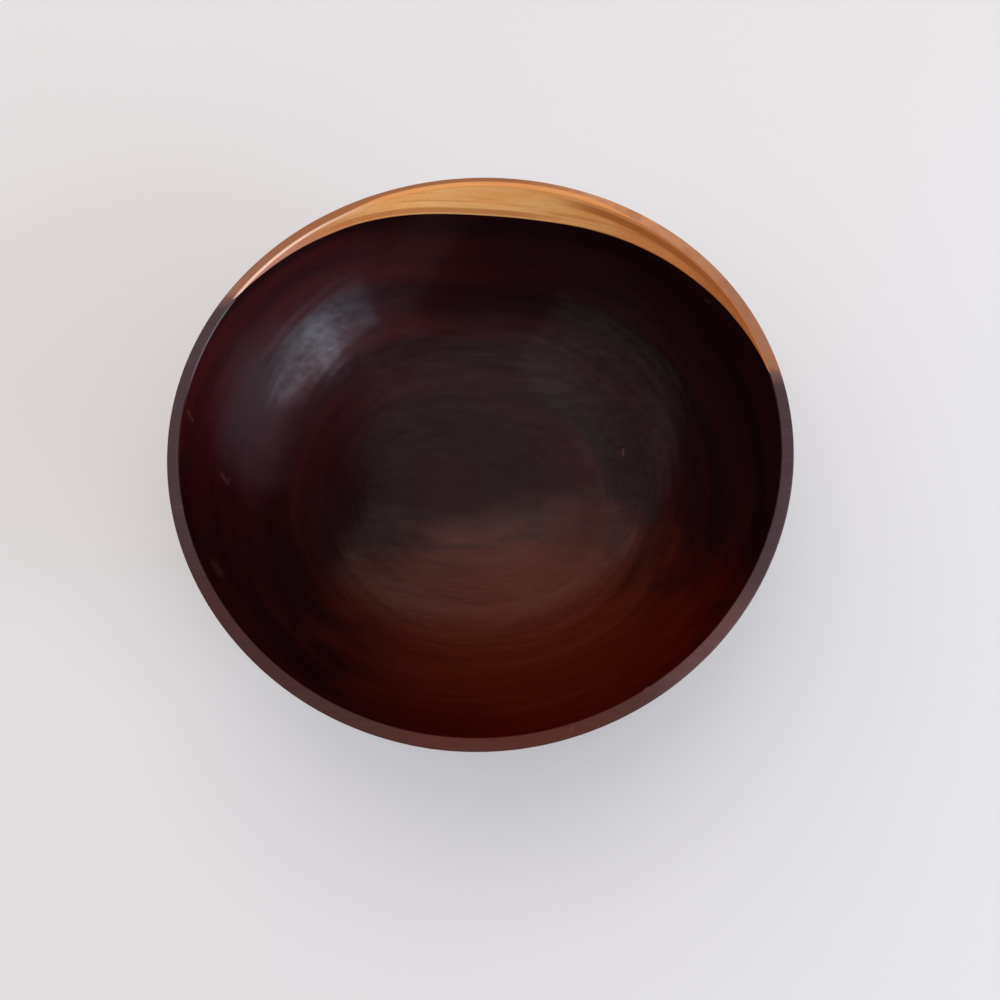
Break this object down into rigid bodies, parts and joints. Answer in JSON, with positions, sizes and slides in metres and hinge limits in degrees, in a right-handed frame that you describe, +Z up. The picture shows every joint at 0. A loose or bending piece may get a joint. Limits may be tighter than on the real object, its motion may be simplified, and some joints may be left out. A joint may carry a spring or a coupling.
{
  "type": "turned wooden bowl",
  "caption": "Round turned wooden bowl with a thin flat rim, rounded hollow, small foot ring and a pale sapwood crescent in dark heartwood.",
  "frame": {"origin": "on the turning axis, at the height of the surface that the foot stands on", "axes": "+Z up along the turning axis, +Y towards the sapwood side of the rim, X close to the grain"},
  "size_m": [0.2, 0.2, 0.0771],
  "materials": {
    "heartwood": "oiled and polished, satin to gloss, very dark purple-brown with a reddish cast",
    "sapwood": "oiled and polished, satin, golden with fine orange-brown grain lines"
  },
  "bodies": {
    "root": {"heartwood_bowl": "heartwood", "sapwood_band": "sapwood"}
  },
  "joints": []
}
